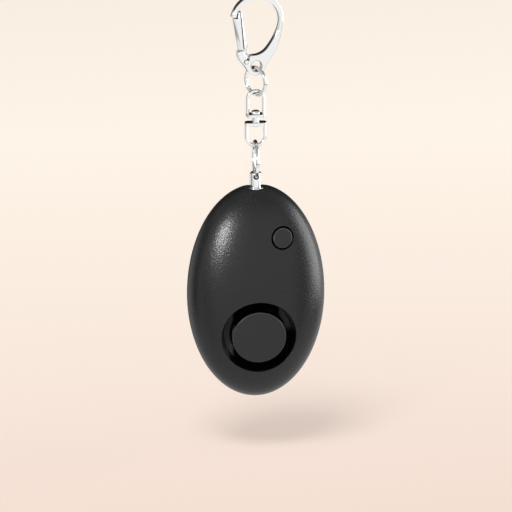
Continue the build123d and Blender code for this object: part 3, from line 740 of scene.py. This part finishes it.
def floor_material(near_colour, floor_colour):
    """Pale paper whose colour runs with depth.

    The camera sees it partly by its own light, which keeps its tone even, and partly by the lamps,
    which throws the shadow on it. Mirrors look through it, and other rays meet a plain grey.
    """
    recipe = Recipe(bpy.data.materials.new("pale_floor"))
    paper = recipe.node(
        "ShaderNodeValToRGB",
        {"stops": [(0.0, opaque(near_colour)), (1.0, opaque(floor_colour))]},
        {"Fac": recipe.place("Y") * RAMP_SLOPE + RAMP_START},
    )
    seen = recipe.node("ShaderNodeLightPath", output="Is Camera Ray")
    mirrored = recipe.node("ShaderNodeLightPath", output="Is Glossy Ray")
    matt = recipe.node(
        "ShaderNodeBsdfDiffuse", {}, {"Color": recipe.blend(seen, grey(BOUNCE_GREY), paper)}
    )
    lit = recipe.node("ShaderNodeEmission", {}, {"Color": paper, "Strength": GLOW_STRENGTH})
    clear = recipe.node("ShaderNodeBsdfTransparent")
    ground = recipe.node("ShaderNodeMixShader", {}, {0: seen * GLOW_SHARE, 1: matt, 2: lit})
    return recipe.material(
        recipe.node("ShaderNodeMixShader", {}, {0: mirrored, 1: ground, 2: clear})
    )


def studio_sky(backdrop):
    """World of even light with dark cards in it, which the plating and the coat mirror."""
    world = bpy.data.worlds.new("studio")
    sky = Recipe(world)
    where = sky.node("ShaderNodeTexCoord", output="Generated")
    right, away, up = [
        sky.node("ShaderNodeSeparateXYZ", {}, {"Vector": where}, output=axis) for axis in "XYZ"
    ]
    left_card = right.rises(-0.68, -0.76) * away.rises(-0.62, -0.55) * away.rises(-0.34, -0.42)
    right_card = right.rises(0.66, 0.74) * away.rises(-0.62, -0.56) * away.rises(-0.38, -0.44)
    side_cards = (
        away.rises(-0.1, -0.02) * away.rises(0.30, 0.22) * (right * right).rises(0.76, 0.84)
    )
    back_card = away.rises(0.2, 0.45) * up.rises(0.05, 0.16)
    top_card = up.rises(0.45, 0.7)
    rear_card = away.rises(0.76, 0.9)
    cards = (
        (left_card, 0.55),
        (right_card, 0.9),
        (side_cards, 0.95),
        (back_card, 0.92),
        (top_card, 0.62),
        (rear_card, 0.85),
    )
    light = 0.94 - right.rises(-0.2, -0.6) * 0.12
    for card, darkness in cards:
        light = light * (1 - card * darkness)
    seen = sky.node("ShaderNodeLightPath", output="Is Camera Ray")
    shown = sky.blend(seen, light, opaque(backdrop))
    glow = sky.node("ShaderNodeBackground", {}, {"Color": shown, "Strength": 1.0})
    sky.node("ShaderNodeOutputWorld", {}, {"Surface": glow})
    return world


class BUZZER_OT_stage(bpy.types.Operator):
    """Set the floor, the lamps, the sky and the camera"""

    bl_idname = "buzzer.stage"
    bl_label = "Stage"

    def execute(self, context):
        stage = context.scene.buzzer_stage
        low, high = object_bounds()
        middle = Vector((0, 0, (low.z + high.z) / 2))

        mesh = bmesh.new()
        bmesh.ops.create_grid(mesh, x_segments=1, y_segments=1, size=FLOOR_SIZE)
        bmesh.ops.translate(mesh, verts=mesh.verts, vec=(0, 0, low.z - stage.floor_drop))
        data = bpy.data.meshes.new("floor")
        mesh.to_mesh(data)
        mesh.free()
        floor = bpy.data.objects.new("floor", data)
        context.scene.collection.objects.link(floor)
        floor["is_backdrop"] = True
        paint(floor, floor_material(stage.near_colour, stage.floor_colour))
        context.scene.world = studio_sky(stage.floor_colour)

        key = lamp("key_lamp", stage.key_power, KEY_LAMP, middle)
        lamp("side_lamp", stage.side_power, SIDE_LAMP, middle)
        shade = lamp("shadow_lamp", stage.shadow_power, SHADOW_LAMP, middle)
        key.visible_diffuse = False
        shade.visible_glossy = False

        camera = bpy.data.cameras.new("camera")
        camera.sensor_width = SENSOR_WIDTH
        camera.lens = stage.lens
        camera.clip_end = FAR_CLIP
        obj = bpy.data.objects.new("camera", camera)
        back = Vector((
            math.sin(AZIMUTH) * math.cos(ELEVATION),
            -math.cos(AZIMUTH) * math.cos(ELEVATION),
            math.sin(ELEVATION),
        ))
        obj.location = TARGET + back * (FRAMED * stage.lens / SENSOR_WIDTH)
        obj.rotation_mode = "QUATERNION"
        obj.rotation_quaternion = (-back).to_track_quat("-Z", "Y")
        context.scene.collection.objects.link(obj)
        context.scene.camera = obj
        context.scene.view_settings.view_transform = "Standard"
        return {"FINISHED"}


class BUZZER_PT_panel(bpy.types.Panel):
    """Sidebar panel with the buzzer's sizes, colours and steps"""

    bl_idname = "BUZZER_PT_panel"
    bl_label = "Emergency buzzer"
    bl_space_type = "VIEW_3D"
    bl_region_type = "UI"
    bl_category = "Buzzer"

    def draw(self, context):
        layout = self.layout
        for group in ("buzzer_chain", "buzzer_casing", "buzzer_stage"):
            settings = getattr(context.scene, group)
            for name in settings.__annotations__:
                layout.prop(settings, name)
        for operator in OPERATORS:
            layout.operator(operator.bl_idname)


GROUPS = {"buzzer_chain": BuzzerChain, "buzzer_casing": BuzzerCasing, "buzzer_stage": BuzzerStage}
OPERATORS = (
    BUZZER_OT_chain,
    BUZZER_OT_pull_pin,
    BUZZER_OT_casing,
    BUZZER_OT_outlet,
    BUZZER_OT_button,
    BUZZER_OT_inside,
    BUZZER_OT_stage,
)


def register():
    for name, group in GROUPS.items():
        bpy.utils.register_class(group)
        setattr(bpy.types.Scene, name, bpy.props.PointerProperty(type=group))
    for operator in OPERATORS:
        bpy.utils.register_class(operator)
    bpy.utils.register_class(BUZZER_PT_panel)


def unregister():
    bpy.utils.unregister_class(BUZZER_PT_panel)
    for operator in reversed(OPERATORS):
        bpy.utils.unregister_class(operator)
    for name, group in GROUPS.items():
        delattr(bpy.types.Scene, name)
        bpy.utils.unregister_class(group)


def main():
    """Builds the dressed part and its stage."""
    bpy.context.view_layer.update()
    register()
    bpy.ops.buzzer.chain()
    bpy.ops.buzzer.pull_pin()
    bpy.ops.buzzer.casing()
    bpy.ops.buzzer.outlet()
    bpy.ops.buzzer.button()
    bpy.ops.buzzer.inside()
    bpy.ops.buzzer.stage()
    bpy.context.view_layer.update()


if __name__ == "__main__":
    main()
